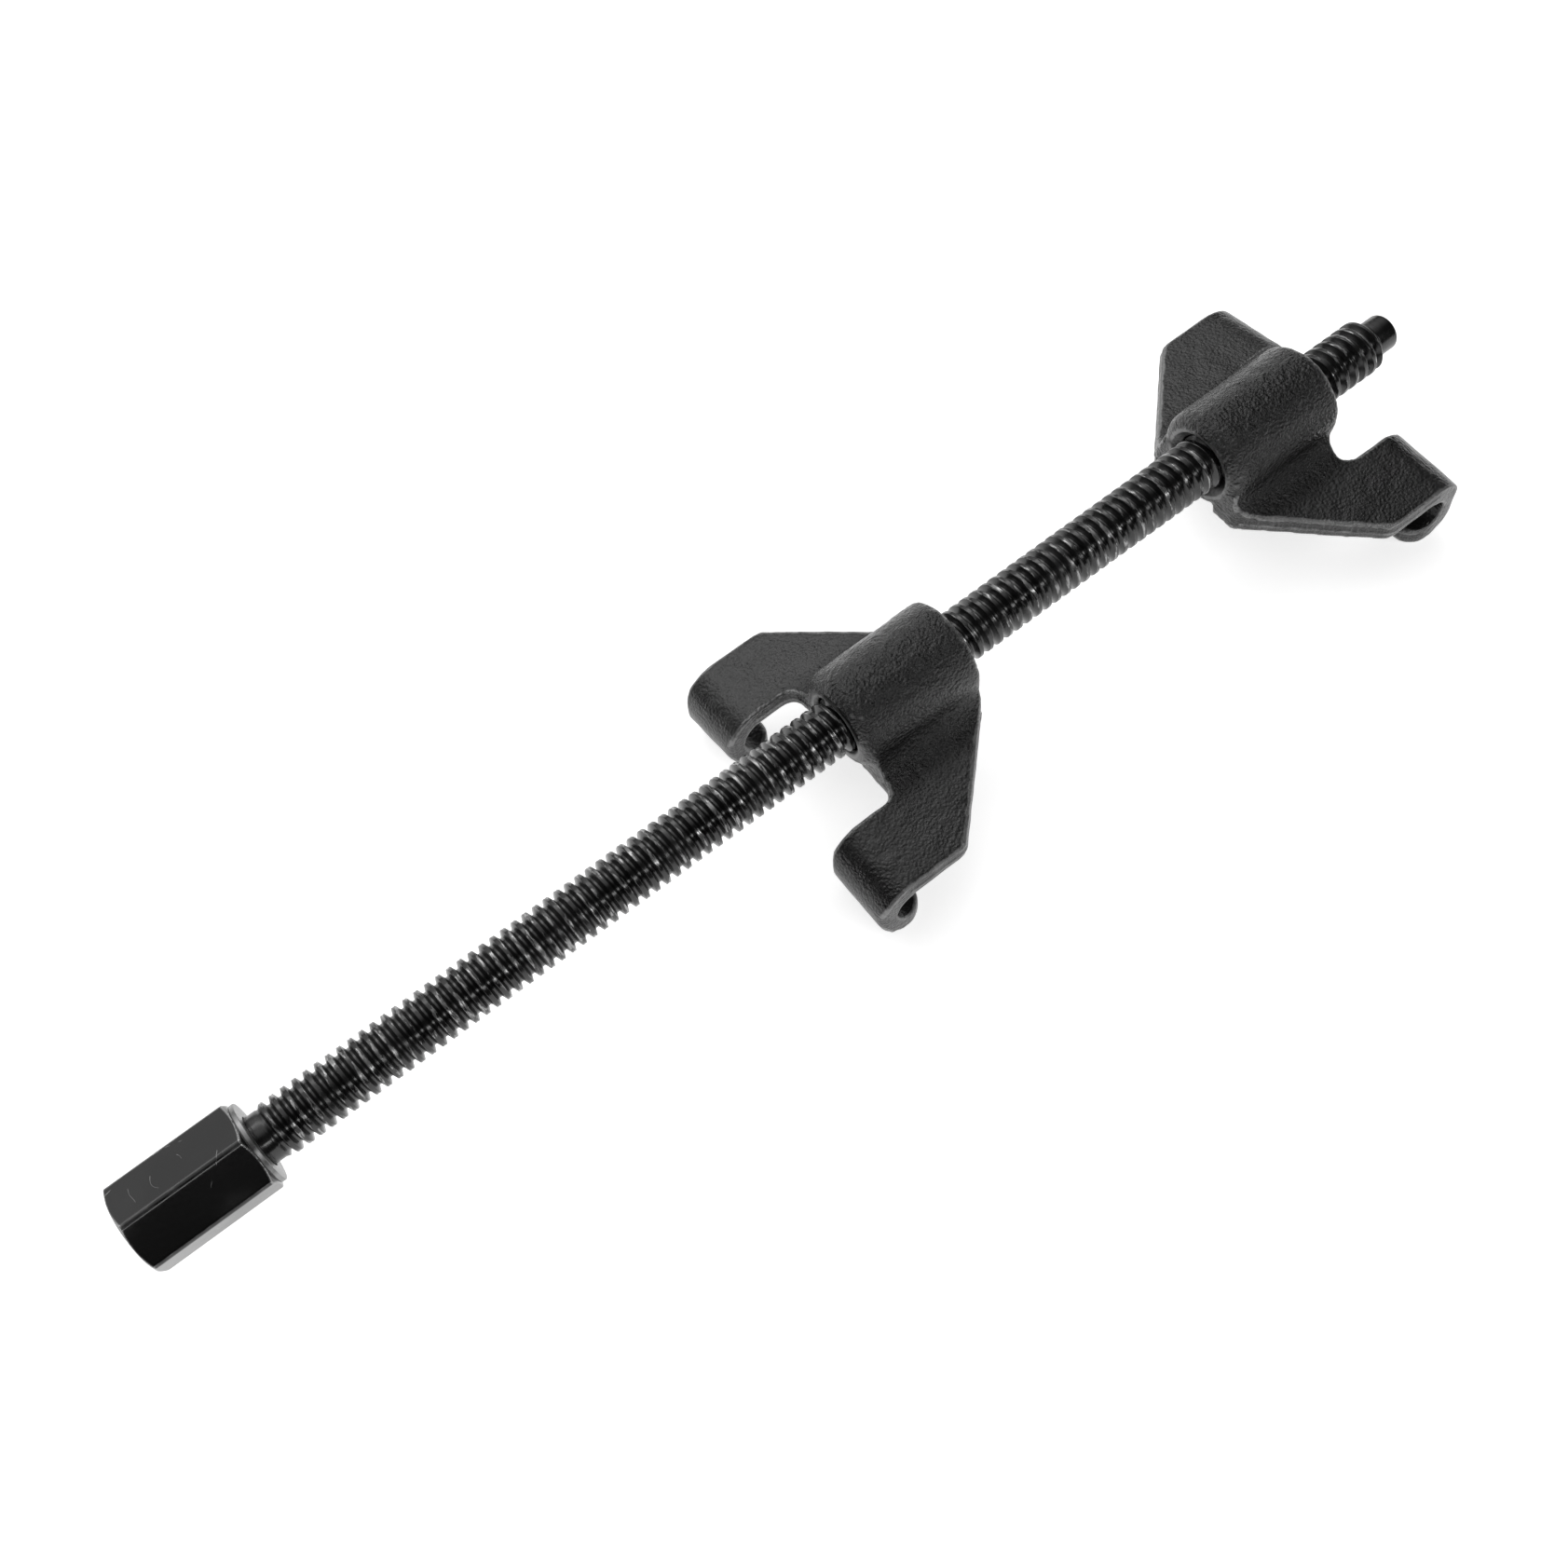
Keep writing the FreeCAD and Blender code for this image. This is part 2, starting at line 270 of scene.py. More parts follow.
def makeWearGroup():
    group, start, end = startGroup(
        "worn edges",
        [
            ("Vector", "NodeSocketVector", None),
            ("Worn", "NodeSocketFloat", 0.0),
            ("Amount", "NodeSocketFloat", 0.5),
            ("Size", "NodeSocketFloat", 300.0),
        ],
        [("Mask", "NodeSocketFloat")],
    )
    patches = noiseNode(group, start.outputs["Vector"], start.outputs["Size"], 5.0, 0.65)
    raised = mathNode(group, "ADD", patches, wearBlend["floor"])
    lifted = mathNode(group, "MULTIPLY", start.outputs["Worn"], raised)
    limit = mathNode(group, "SUBTRACT", 1.0, start.outputs["Amount"])
    mask = rangeNode(group, lifted, limit, mathNode(group, "ADD", limit, wearBlend["softness"]))
    group.links.new(mask, end.inputs["Mask"])
    return group


def makeScratchGroup():
    group, start, end = startGroup(
        "fine scratches",
        [
            ("Vector", "NodeSocketVector", None),
            ("Scale", "NodeSocketFloat", 60.0),
            ("Width", "NodeSocketFloat", 0.004),
            ("Rarity", "NodeSocketFloat", 0.6),
        ],
        [("Mask", "NodeSocketFloat")],
    )
    vector = start.outputs["Vector"]
    lines = noiseNode(group, vector, start.outputs["Scale"], 1.0, 0.4)
    away = mathNode(group, "ABSOLUTE", mathNode(group, "SUBTRACT", lines, 0.5))
    thin = rangeNode(group, away, 0.0, start.outputs["Width"], 1.0, 0.0)
    spread = mathNode(group, "MULTIPLY", start.outputs["Scale"], scratchBlend["spread"])
    spread = noiseNode(group, vector, spread, 2.0, 0.5)
    rarity = start.outputs["Rarity"]
    gate = rangeNode(group, spread, rarity, mathNode(group, "ADD", rarity, scratchBlend["softness"]))
    group.links.new(mathNode(group, "MULTIPLY", thin, gate), end.inputs["Mask"])
    return group


def makeSmudgeGroup():
    group, start, end = startGroup(
        "smudges",
        [("Vector", "NodeSocketVector", None), ("Size", "NodeSocketFloat", 60.0)],
        [("Mask", "NodeSocketFloat")],
    )
    wide = noiseNode(group, start.outputs["Vector"], start.outputs["Size"], 3.0, 0.55)
    group.links.new(rangeNode(group, wide, *smudgeLimits), end.inputs["Mask"])
    return group


pebbleGrain = makePebbleGroup()
wornEdges = makeWearGroup()
fineScratches = makeScratchGroup()
smudges = makeSmudgeGroup()


# helpers for the finishes
def startMaterial(name, sockets):
    material = bpy.data.materials.new(name)
    material.use_nodes = True
    tree = material.node_tree
    shader = tree.nodes["Principled BSDF"]
    for label, value in sockets.items():
        shader.inputs[label].default_value = value
    coords = addNode(tree, "ShaderNodeTexCoord")
    return material, tree, shader, coords.outputs["Object"]


def useGroup(tree, group, vector, **values):
    node = addNode(tree, "ShaderNodeGroup", node_tree=group)
    tree.links.new(vector, node.inputs["Vector"])
    for label, value in values.items():
        if isinstance(value, (int, float)):
            node.inputs[label].default_value = value
        else:
            tree.links.new(value, node.inputs[label])
    return node.outputs


def mixColour(tree, mask, first, second):
    node = addNode(tree, "ShaderNodeMix", data_type="RGBA")
    tree.links.new(mask, node.inputs["Factor"])
    for label, value in (("A", first), ("B", second)):
        socket = [item for item in node.inputs if item.name == label and item.type == "RGBA"][0]
        if isinstance(value, tuple):
            socket.default_value = value
        else:
            tree.links.new(value, socket)
    return [item for item in node.outputs if item.type == "RGBA"][0]


def grey(level):
    return (level, level, level, 1)


def addBump(tree, shader, height, distance):
    node = addNode(tree, "ShaderNodeBump")
    node.inputs["Distance"].default_value = distance
    tree.links.new(height, node.inputs["Height"])
    tree.links.new(node.outputs["Normal"], shader.inputs["Normal"])


def attributeOf(tree, name):
    return addNode(tree, "ShaderNodeAttribute", attribute_name=name).outputs["Fac"]


def stretched(tree, vector, scale):
    node = addNode(tree, "ShaderNodeMapping")
    node.inputs["Scale"].default_value = scale
    tree.links.new(vector, node.inputs["Vector"])
    return node.outputs["Vector"]


def axisDistance(tree, vector):
    centred = addNode(tree, "ShaderNodeMapping")         # measured from the spindle's own axis
    centred.inputs["Location"].default_value = (0, 0, -axisZ)
    centred.inputs["Scale"].default_value = (0, 1, 1)
    tree.links.new(vector, centred.inputs["Vector"])
    length = addNode(tree, "ShaderNodeVectorMath", operation="LENGTH")
    tree.links.new(centred.outputs["Vector"], length.inputs[0])
    return length.outputs["Value"]


forgingFinish = {
    "pebble": 1350.0,            # grains to a metre
    "pit": 420.0,
    "cloud": 70.0,
    "paint": (0.005, 0.010),     # darkest and lightest
    "speck": 0.022,
    "cutSteel": 0.08,            # the trimmed edges of the wings and hooks
    "wornSteel": 0.20,
    "wear": {"Amount": 0.80, "Size": 420.0},
    "cutScale": 1500.0,
    "cutStretch": (1.0, 1.0, 0.1),       # streaked through their thickness
    "cutLimits": (0.42, 0.66),
    "cutBump": 0.4,
    "gloss": (0.26, 0.34),
    "roughGloss": -0.09,
    "wornGloss": 0.12,
    "metal": 0.7,
    "grain": (0.15, 0.85),       # everywhere, and more where it is rough
    "bump": 0.6 * mm,
}


def makeForgingBlack(finish):
    material, tree, shader, vector = startMaterial("forging black", {"Specular IOR Level": 0.5})
    grain = useGroup(tree, pebbleGrain, vector, Pebble=finish["pebble"], Pit=finish["pit"])
    cloud = useGroup(tree, smudges, vector, Size=finish["cloud"])["Mask"]
    rough = attributeOf(tree, "rough")
    worn = attributeOf(tree, "worn")
    trimmed = attributeOf(tree, "cut")
    wear = useGroup(tree, wornEdges, vector, Worn=worn, **finish["wear"])["Mask"]
    sheared = noiseNode(tree, stretched(tree, vector, finish["cutStretch"]), finish["cutScale"], 3.0, 0.6)
    bare = mathNode(tree, "MULTIPLY", trimmed, rangeNode(tree, sheared, *finish["cutLimits"]))
    paint = mixColour(tree, cloud, grey(finish["paint"][0]), grey(finish["paint"][1]))
    specks = mathNode(tree, "MULTIPLY", grain["Speck"], rough)
    specked = mixColour(tree, specks, paint, grey(finish["speck"]))
    edged = mixColour(tree, bare, specked, grey(finish["cutSteel"]))
    colour = mixColour(tree, wear, edged, grey(finish["wornSteel"]))
    tree.links.new(colour, shader.inputs["Base Color"])
    gloss = rangeNode(tree, cloud, 0.0, 1.0, *finish["gloss"])
    gloss = mathNode(tree, "MULTIPLY_ADD", rough, finish["roughGloss"], gloss)
    gloss = mathNode(tree, "MULTIPLY_ADD", wear, finish["wornGloss"], gloss)
    tree.links.new(gloss, shader.inputs["Roughness"])
    metal = mathNode(tree, "MULTIPLY", mathNode(tree, "MAXIMUM", wear, bare), finish["metal"])
    tree.links.new(metal, shader.inputs["Metallic"])
    grainDepth = mathNode(tree, "MULTIPLY_ADD", rough, finish["grain"][1], finish["grain"][0])
    height = mathNode(tree, "MULTIPLY", grain["Height"], grainDepth)
    streaks = mathNode(tree, "MULTIPLY", sheared, trimmed)
    height = mathNode(tree, "MULTIPLY_ADD", streaks, finish["cutBump"], height)
    addBump(tree, shader, height, finish["bump"])
    return material


threadFinish = {
    "crest": (6.75 * mm, 6.98 * mm),     # where the rubbed crests begin, from the axis
    "stretch": (5.0, 1.0, 1.0),          # marks run round the thread, as rolling leaves them
    "drawn": 160.0,
    "drawnLimits": (0.53, 0.60),
    "cloud": 110.0,
    "oxide": (0.004, 0.008),
    "rubbed": 0.30,
    "metal": 0.85,
    "gloss": (0.17, 0.30),
    "worked": 330.0,
    "drawnBump": 0.3,
    "bump": 0.05 * mm,
}


def makeRolledThread(finish):
    material, tree, shader, vector = startMaterial("rolled thread", {"Specular IOR Level": 0.6})
    crest = rangeNode(tree, axisDistance(tree, vector), *finish["crest"])
    around = stretched(tree, vector, finish["stretch"])
    drawn = noiseNode(tree, around, finish["drawn"], 4.0, 0.6)
    streak = mathNode(tree, "MULTIPLY", crest, rangeNode(tree, drawn, *finish["drawnLimits"]))
    cloud = useGroup(tree, smudges, vector, Size=finish["cloud"])["Mask"]
    oxide = mixColour(tree, cloud, grey(finish["oxide"][0]), grey(finish["oxide"][1]))
    colour = mixColour(tree, streak, oxide, grey(finish["rubbed"]))
    tree.links.new(colour, shader.inputs["Base Color"])
    tree.links.new(mathNode(tree, "MULTIPLY", streak, finish["metal"]), shader.inputs["Metallic"])
    tree.links.new(rangeNode(tree, cloud, 0.0, 1.0, *finish["gloss"]), shader.inputs["Roughness"])
    worked = noiseNode(tree, around, finish["worked"], 3.0, 0.6)
    height = mathNode(tree, "MULTIPLY_ADD", drawn, finish["drawnBump"], worked)
    addBump(tree, shader, height, finish["bump"])
    return material


hexFinish = {
    "cloud": 45.0,
    "scratch": {"Scale": 95.0, "Width": 0.005, "Rarity": 0.57},
    "wear": {"Amount": 0.80, "Size": 260.0},
    "oxide": (0.003, 0.005),
    "bare": 0.24,
    "metal": 0.8,
    "gloss": (0.15, 0.21),
    "fine": 900.0,
    "markBump": -1.5,
    "bump": 0.012 * mm,
}


def makeHexBlack(finish):
    material, tree, shader, vector = startMaterial("hex black", {"Specular IOR Level": 0.5})
    cloud = useGroup(tree, smudges, vector, Size=finish["cloud"])["Mask"]
    scratch = useGroup(tree, fineScratches, vector, **finish["scratch"])["Mask"]
    wear = useGroup(tree, wornEdges, vector, Worn=attributeOf(tree, "worn"), **finish["wear"])["Mask"]
    marks = mathNode(tree, "MAXIMUM", scratch, wear)
    oxide = mixColour(tree, cloud, grey(finish["oxide"][0]), grey(finish["oxide"][1]))
    tree.links.new(mixColour(tree, marks, oxide, grey(finish["bare"])), shader.inputs["Base Color"])
    tree.links.new(mathNode(tree, "MULTIPLY", marks, finish["metal"]), shader.inputs["Metallic"])
    tree.links.new(rangeNode(tree, cloud, 0.0, 1.0, *finish["gloss"]), shader.inputs["Roughness"])
    fine = noiseNode(tree, vector, finish["fine"], 3.0, 0.5)
    height = mathNode(tree, "MULTIPLY_ADD", marks, finish["markBump"], fine)
    addBump(tree, shader, height, finish["bump"])
    return material


washerFinish = {
    "ringGap": 0.22 * mm,        # between the turning marks
    "cloud": 160.0,
    "steel": (0.14, 0.30),
    "metal": (0.75, 0.95),
    "gloss": (0.24, 0.4),
    "bump": 0.01 * mm,
}


def makeWasherSteel(finish):
    material, tree, shader, vector = startMaterial("washer steel", {"Specular IOR Level": 0.5})
    turns = mathNode(tree, "MULTIPLY", axisDistance(tree, vector), 2 * math.pi / finish["ringGap"])
    cloud = useGroup(tree, smudges, vector, Size=finish["cloud"])["Mask"]
    steel = mixColour(tree, cloud, grey(finish["steel"][0]), grey(finish["steel"][1]))
    tree.links.new(steel, shader.inputs["Base Color"])
    tree.links.new(rangeNode(tree, cloud, 0.0, 1.0, *finish["metal"]), shader.inputs["Metallic"])
    tree.links.new(rangeNode(tree, cloud, 0.0, 1.0, *finish["gloss"]), shader.inputs["Roughness"])
    addBump(tree, shader, mathNode(tree, "SINE", turns), finish["bump"])
    return material


forgingBlack = makeForgingBlack(forgingFinish)
rolledThread = makeRolledThread(threadFinish)
hexBlack = makeHexBlack(hexFinish)
washerSteel = makeWasherSteel(washerFinish)
print("finishes ready")


# radii are measured from the spindle's axis
def radiusOf(place):
    return math.hypot(place.y, place.z - axisZ)


def setRadius(vert, radius):
    old = radiusOf(vert.co)
    vert.co.y *= radius / old
    vert.co.z = axisZ + (vert.co.z - axisZ) * radius / old


def softMin(first, second, blend):       # the smaller of two radii, with a rounded corner between them
    low = min(first, second)
    return low - blend * math.log(math.exp((low - first) / blend) + math.exp((low - second) / blend))


def ease(value):
    value = min(max(value, 0.0), 1.0)
    return value * value * (3 - 2 * value)


def openEdges(bm, atX):
    return [edge for edge in bm.edges if edge.is_boundary and abs(edge.verts[0].co.x - atX) < weldGap]


def growLoop(bm, edges, forward, radius):        # extrudes an open edge loop and gives back the new one
    made = bmesh.ops.extrude_edge_only(bm, edges=edges)["geom"]
    for vert in [item for item in made if isinstance(item, bmesh.types.BMVert)]:
        vert.co.x += forward
        setRadius(vert, radius)
    return [item for item in made if isinstance(item, bmesh.types.BMEdge) and item.is_boundary]


def closeLoop(bm, edges):
    bmesh.ops.holes_fill(bm, edges=edges, sides=0)


def spreadLayer(bm, layer, passes):
    for step in range(passes):
        fresh = {}
        for vert in bm.verts:
            around = [edge.other_vert(vert)[layer] for edge in vert.link_edges]
            fresh[vert] = (vert[layer] + sum(around)) / (len(around) + 1)
        for vert, value in fresh.items():
            vert[layer] = value


def markWorn(bm, reach, passes):         # the sharper an outer edge, the more it is worn
    worn = bm.verts.layers.float.new("worn")
    for vert in bm.verts:
        turn = sum(edge.calc_face_angle_signed(0.0) for edge in vert.link_edges)
        vert[worn] = max(turn, 0.0) / reach
    spreadLayer(bm, worn, passes)


def finishPiece(name, bm, sharpAngle, material, body, node):
    for face in bm.faces:
        face.smooth = True
    for edge in bm.edges:
        edge.smooth = edge.calc_face_angle(0.0) < math.radians(sharpAngle)
    mesh = bpy.data.meshes.new(name)
    bm.to_mesh(mesh)
    bm.free()
    piece = bpy.data.objects.new(name, mesh)
    bpy.context.collection.objects.link(piece)
    mesh.materials.append(material)
    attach(piece, body)
    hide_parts(node)
    print(name, "made with", len(mesh.polygons), "faces")


# one turn of rolled thread is repeated, then a plain neck and a dog end are added
spindleSettings = {
    "pitch": 3.0 * mm,
    "rootRadius": 5.5 * mm,
    "crestRadius": 7.0 * mm,
    "shankRadius": 6.25 * mm,
    "rootFlat": 0.6 * mm,
    "crestFlat": 1.08 * mm,
    "edgeRound": 0.12 * mm,
    "seamDepth": 0.09 * mm,      # the groove that rolling leaves along the crest
    "stepsPerTurn": 48,
    "neckEnd": 3.6 * mm,         # from the shoulder
    "runIn": 2.6 * mm,
    "socketDepth": 24.0 * mm,    # how far the neck goes into the hex
    "dogLength": 6.0 * mm,
    "dogRadius": 4.75 * mm,
    "dogRound": 0.8 * mm,
    "dogSteps": 5,
    "endSlope": 1.05,            # of the cone that cuts the last turns back
    "endRelief": 0.1 * mm,
    "waver": 0.02 * mm,
    "waverScale": 260.0,
    "sharpAngle": 50.0,
}


def threadRidge(settings):       # one ridge's outline, as places along the axis and radii
    pitch = settings["pitch"]
    root = settings["rootRadius"]
    crest = settings["crestRadius"]
    rounding = settings["edgeRound"]
    flatHalf = settings["crestFlat"] / 2
    rootHalf = settings["rootFlat"] / 2
    left = [
        (-pitch / 2, root),
        (-pitch / 2 + rootHalf - rounding, root),
        (-pitch / 2 + rootHalf + rounding / 2, root + rounding / 2),
        (-flatHalf - rounding / 2, crest - rounding),
        (-flatHalf + rounding / 2, crest - rounding / 5),
        (-flatHalf + 1.6 * rounding, crest),
    ]
    right = [(-along, radius) for along, radius in reversed(left)]
    return left + [(0.0, crest - settings["seamDepth"])] + right


def makeSpindle(settings):
    pitch = settings["pitch"]
    steps = settings["stepsPerTurn"]
    start = shoulderX + settings["neckEnd"]
    end = tipX - settings["dogLength"]
    firstRidge = shoulderX + settings["rootFlat"] / 2 + pitch / 2        # in step with the frame's thread
    root = settings["rootRadius"]
    shank = settings["shankRadius"]
    coneFoot = root - settings["endRelief"]
    bm = bmesh.new()
    ridge = []
    for along, radius in threadRidge(settings):
        ridge.append(bm.verts.new((firstRidge + along, 0, axisZ - radius)))
    lines = [bm.edges.new(pair) for pair in zip(ridge[:-1], ridge[1:])]
    bmesh.ops.spin(bm, geom=ridge + lines, cent=(0, 0, axisZ), axis=(1, 0, 0), angle=2 * math.pi,
                   steps=steps, dvec=(pitch / steps, 0, 0), use_merge=False)
    oneTurn = list(bm.verts) + list(bm.edges) + list(bm.faces)
    for turn in range(1, math.ceil((end - firstRidge) / pitch) + 1):
        copied = bmesh.ops.duplicate(bm, geom=oneTurn)["geom"]
        moved = [item for item in copied if isinstance(item, bmesh.types.BMVert)]
        bmesh.ops.translate(bm, verts=moved, vec=(turn * pitch, 0, 0))
    bmesh.ops.remove_doubles(bm, verts=bm.verts, dist=weldGap)
    for vert in bm.verts:
        grown = ease((vert.co.x - start) / settings["runIn"])      # the first turns rise out of the neck
        radius = radiusOf(vert.co)
        rise = (radius - root) / (settings["crestRadius"] - root)
        radius += settings["waver"] * rise * noise.noise(vert.co * settings["waverScale"])
        radius = shank + (radius - shank) * grown
        cone = coneFoot + (end - vert.co.x) / settings["endSlope"]
        setRadius(vert, min(radius, max(cone, coneFoot)))
    for cut, side in ((start, -1), (end, 1)):
        everything = list(bm.verts) + list(bm.edges) + list(bm.faces)
        bmesh.ops.bisect_plane(bm, geom=everything, dist=0.001 * mm, plane_co=(cut, 0, 0),
                               plane_no=(side, 0, 0), clear_outer=True)
    neck = growLoop(bm, openEdges(bm, start), -settings["neckEnd"], shank)
    closeLoop(bm, growLoop(bm, neck, -settings["socketDepth"], shank))
    dog = settings["dogRadius"]
    rounding = settings["dogRound"]
    loop = growLoop(bm, openEdges(bm, end), 0.0, dog + rounding / 2)
    loop = growLoop(bm, loop, rounding / 3, dog)
    loop = growLoop(bm, loop, settings["dogLength"] - rounding - rounding / 3, dog)
    before = 0.0
    for step in range(1, settings["dogSteps"] + 1):          # the dog's rounded rim
        turn = math.pi / 2 * step / settings["dogSteps"]
        forward = rounding * (math.sin(turn) - before)
        loop = growLoop(bm, loop, forward, dog - rounding * (1 - math.cos(turn)))
        before = math.sin(turn)
    closeLoop(bm, loop)
    bmesh.ops.recalc_face_normals(bm, faces=bm.faces)
    sharp = settings["sharpAngle"]
    finishPiece("threaded_spindle", bm, sharp, rolledThread, "spindle", "spindle")


makeSpindle(spindleSettings)


# rings of a rounded hexagon, cut back by a cone at each end
hexSettings = {
    "flats": 21.0 * mm,
    "chamferAngle": 27.0,        # degrees from the end face
    "faceInset": 0.3 * mm,
    "turn": 15.0,                # of the flats about the axis, degrees
    "segments": 360,
    "cornerRound": 0.25 * mm,
    "blend": 0.06 * mm,
    "rimRound": 0.25 * mm,
    "socketRadius": 6.27 * mm,
    "socketDepth": 24.0 * mm,
    "centreRadius": 1.6 * mm,    # the lathe centre's mark in the far face
    "centreDepth": 1.3 * mm,
    "endRings": 10,
    "endReach": 1.2,             # how far the end rings go, in chamfer lengths
    "middleRings": 8,
    "wearReach": 0.9,
    "wearSpread": 2,
    "sharpAngle": 24.0,
}


def makeDriveHex(settings):
    flatRadius = settings["flats"] / 2
    corner = flatRadius / math.cos(math.radians(30))
    faceRadius = flatRadius - settings["faceInset"]
    slope = math.tan(math.radians(settings["chamferAngle"]))
    run = (corner - faceRadius) * slope
    length = shoulderX - hexLow[0]
    middle = (shoulderX + hexLow[0]) / 2
    rings = settings["endRings"]
    ends = [run * settings["endReach"] * step / rings for step in range(rings + 1)]
    middles = [length * step / settings["middleRings"] for step in range(1, settings["middleRings"])]
    stations = ends + middles + [length - gap for gap in reversed(ends)]
    upright = Matrix.Translation((hexLow[0], 0, axisZ)) @ Matrix.Rotation(math.pi / 2, 4, "Y")
    bm = bmesh.new()
    bmesh.ops.create_circle(bm, cap_ends=False, segments=settings["segments"], radius=flatRadius,
                            matrix=upright)
    loop = list(bm.edges)
    for before, after in zip(stations[:-1], stations[1:]):
        loop = growLoop(bm, loop, after - before, flatRadius)
    for vert in bm.verts:
        angle = math.degrees(math.atan2(vert.co.y, vert.co.z - axisZ)) + settings["turn"]
        fold = math.radians((angle % 60) - 30)
        flat = flatRadius / math.cos(fold)
        body = softMin(flat, corner - settings["cornerRound"], settings["blend"])
        gap = length / 2 - abs(vert.co.x - middle)
        cone = faceRadius + gap / slope
        setRadius(vert, softMin(body, cone, settings["blend"]))
    rim = settings["rimRound"]
    front = growLoop(bm, openEdges(bm, shoulderX), 0.0, settings["socketRadius"])
    closeLoop(bm, growLoop(bm, front, -settings["socketDepth"], settings["socketRadius"]))
    back = growLoop(bm, openEdges(bm, hexLow[0]), 0.0, faceRadius - rim)
    back = growLoop(bm, back, 0.0, settings["centreRadius"])
    closeLoop(bm, growLoop(bm, back, settings["centreDepth"], settings["centreRadius"] / 4))
    bmesh.ops.recalc_face_normals(bm, faces=bm.faces)
    markWorn(bm, settings["wearReach"], settings["wearSpread"])
    finishPiece("drive_hex_bar", bm, settings["sharpAngle"], hexBlack, "spindle", "drive_hex")


makeDriveHex(hexSettings)


washerSettings = {
    "inner": 6.55 * mm,
    "outer": 10.3 * mm,
    "edgeRound": 0.24 * mm,
    "roundSteps": 4,
    "segments": 128,
    "sharpAngle": 60.0,
}


def makeThrustWasher(settings):
    low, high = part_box("thrust_washer")
    rounding = settings["edgeRound"]
    corners = [                  # each corner's place, and the angle its rounding starts from
        (low[0], settings["outer"], 180),
        (high[0], settings["outer"], 90),
        (high[0], settings["inner"], 0),
        (low[0], settings["inner"], 270),
    ]
    bm = bmesh.new()
    outline = []
    for x, radius, startAngle in corners:
        inX = rounding if x == low[0] else -rounding
        inR = -rounding if radius == settings["outer"] else rounding
        for step in range(settings["roundSteps"] + 1):
            turn = math.radians(startAngle - 90 * step / settings["roundSteps"])
            out = radius + inR + rounding * math.sin(turn)
            outline.append(bm.verts.new((x + inX + rounding * math.cos(turn), 0, axisZ + out)))
    lines = [bm.edges.new((outline[i - 1], outline[i])) for i in range(len(outline))]
    bmesh.ops.spin(bm, geom=outline + lines, cent=(0, 0, axisZ), axis=(1, 0, 0), angle=2 * math.pi,
                   steps=settings["segments"], use_merge=True)
    bmesh.ops.recalc_face_normals(bm, faces=bm.faces)
    sharp = settings["sharpAngle"]
    finishPiece("thrust_ring", bm, sharp, washerSteel, "washer", "thrust_washer")


makeThrustWasher(washerSettings)


# the forging's skin over the frame's own shape, the same for both jaws
jawSettings = {
    "voxel": 0.45 * mm,
    "smoothing": 7,
    "smoothFactor": 0.5,
    "boreKeep": 9.3 * mm,        # inside this the machined bore stays clean
    "boreBlend": 1.5 * mm,
    "barrelRadius": 13.0 * mm,
    "barrelLength": 34.0 * mm,
    "wingDrop": 7.8 * mm,
    "wingSlope": 6.0,            # degrees below level
    "wingThickness": 5.4 * mm,
    "wingStart": 1.5 * mm,       # outside the barrel
    "flatReach": 10.0 * mm,      # past the barrel, a little way into the curl
    "edgeLimit": 0.35,           # how far a trimmed edge may lean towards the wing's face
    "curlLimit": 0.75,           # how squarely a curl's end must face sideways
    "roughReach": 17.0 * mm,     # from the axis, the roughest skin
    "roughFade": 7.0 * mm,
    "plainRough": 0.35,
    "lumpScale": 210.0,
    "lumpHeight": 0.12 * mm,
    "rippleScale": 800.0,
    "rippleHeight": 0.12 * mm,
    "partingHeight": 0.26 * mm,
    "partingWidth": 0.5 * mm,
    "cutSpread": 2,
    "wearReach": 1.1,
    "wearSpread": 3,
    "sharpAngle": 75.0,
}


def remeshed(node, settings):
    bm = bmesh.new()
    bm.from_mesh(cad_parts[node].data)
    bmesh.ops.remove_doubles(bm, verts=bm.verts, dist=weldGap / 10)
    mesh = bpy.data.meshes.new(node + " skin")
    bm.to_mesh(mesh)
    bm.free()
    draft = bpy.data.objects.new(node + " skin", mesh)
    bpy.context.collection.objects.link(draft)
    remesh = draft.modifiers.new("skin", "REMESH")
    remesh.mode = "VOXEL"
    remesh.voxel_size = settings["voxel"]
    shaped = draft.evaluated_get(bpy.context.evaluated_depsgraph_get())
    done = bpy.data.meshes.new_from_object(shaped)
    bpy.data.objects.remove(draft)
    bm = bmesh.new()
    bm.from_mesh(done)
    return bm


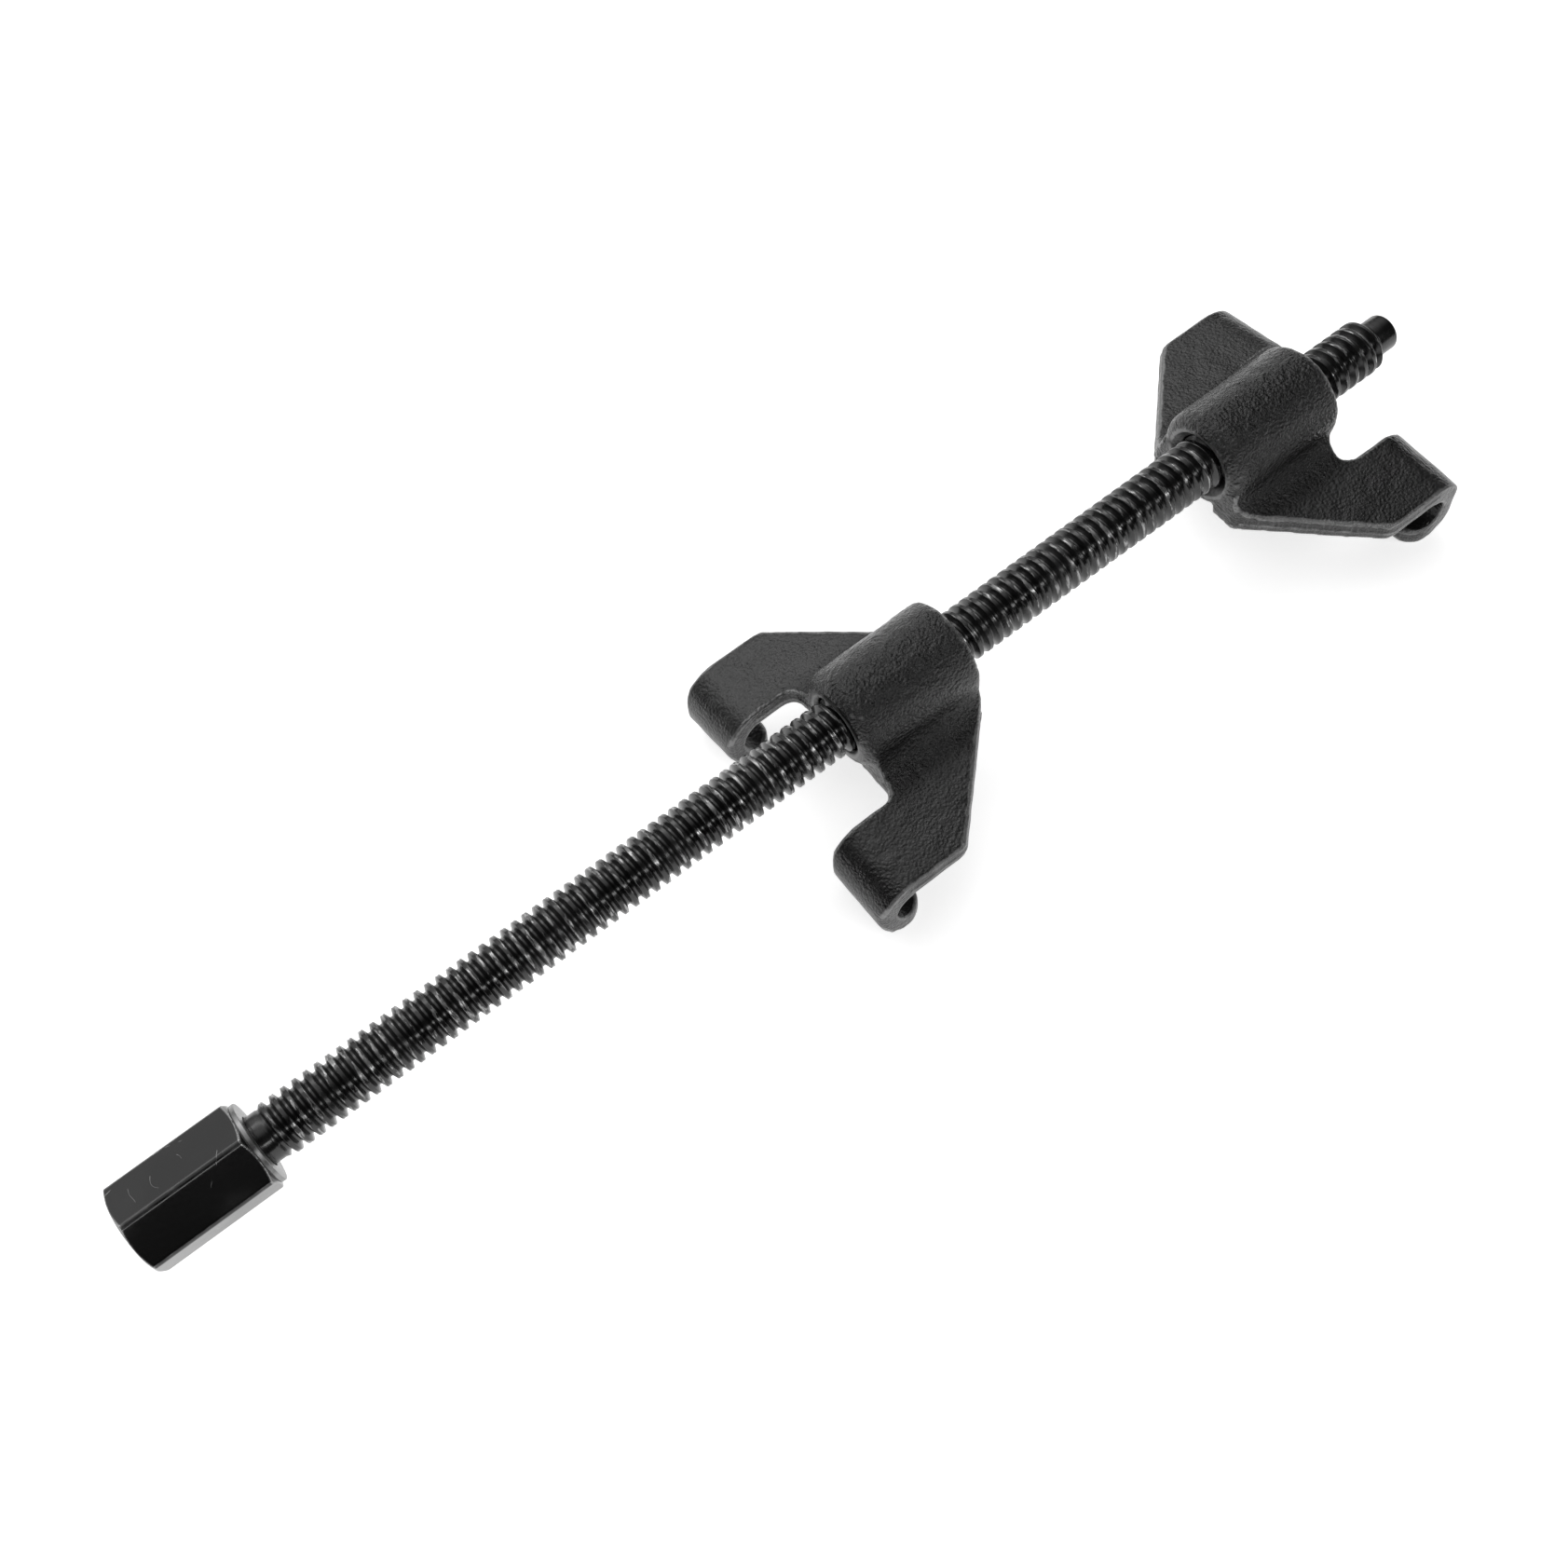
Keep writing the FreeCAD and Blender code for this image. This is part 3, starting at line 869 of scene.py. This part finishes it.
def makeJaw(name, node, body, backX, settings):
    bm = remeshed(node, settings)
    soft = [vert for vert in bm.verts if radiusOf(vert.co) > settings["boreKeep"]]
    for step in range(settings["smoothing"]):
        bmesh.ops.smooth_vert(bm, verts=soft, factor=settings["smoothFactor"],
                              use_axis_x=True, use_axis_y=True, use_axis_z=True)
    bm.normal_update()
    slope = math.radians(settings["wingSlope"])
    flatEnd = settings["barrelLength"] + settings["flatReach"]
    rough = bm.verts.layers.float.new("rough")
    cut = bm.verts.layers.float.new("cut")
    for vert in bm.verts:
        out = radiusOf(vert.co)
        side = abs(vert.co.y) - settings["barrelRadius"]
        rise = vert.co.z - axisZ + settings["wingDrop"]
        level = side * math.sin(slope) + rise * math.cos(slope)          # above the wing's top face
        flatness = abs(vert.normal.z * math.cos(slope) + abs(vert.normal.y) * math.sin(slope))
        cast = ease((out - settings["boreKeep"]) / settings["boreBlend"])
        nearBarrel = 1 - ease((out - settings["roughReach"]) / settings["roughFade"])
        vert[rough] = cast * (settings["plainRough"] + (1 - settings["plainRough"]) * nearBarrel)
        lift = settings["lumpHeight"] * noise.noise(vert.co * settings["lumpScale"])
        lift += settings["rippleHeight"] * noise.noise(vert.co * settings["rippleScale"]) * nearBarrel
        beyond = side > settings["wingStart"]
        onFlat = beyond and abs(vert.co.x - backX) < flatEnd
        if onFlat and flatness < settings["edgeLimit"]:                  # the raised parting line
            middle = (level + settings["wingThickness"] / 2) / settings["partingWidth"]
            lift += settings["partingHeight"] * math.exp(-middle * middle)
        if onFlat:
            trimmed = flatness < settings["edgeLimit"]
        else:
            trimmed = beyond and abs(vert.normal.y) > settings["curlLimit"]
        vert[cut] = 1.0 if trimmed else 0.0
        vert.co += vert.normal * lift * cast
    bm.normal_update()
    spreadLayer(bm, cut, settings["cutSpread"])
    markWorn(bm, settings["wearReach"], settings["wearSpread"])
    finishPiece(name, bm, settings["sharpAngle"], forgingBlack, body, node)


makeJaw("sliding_jaw", "free_jaw", "free_jaw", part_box("free_jaw")[1][0], jawSettings)
makeJaw("tapped_jaw", "threaded_jaw", "threaded_jaw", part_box("threaded_jaw")[0][0], jawSettings)
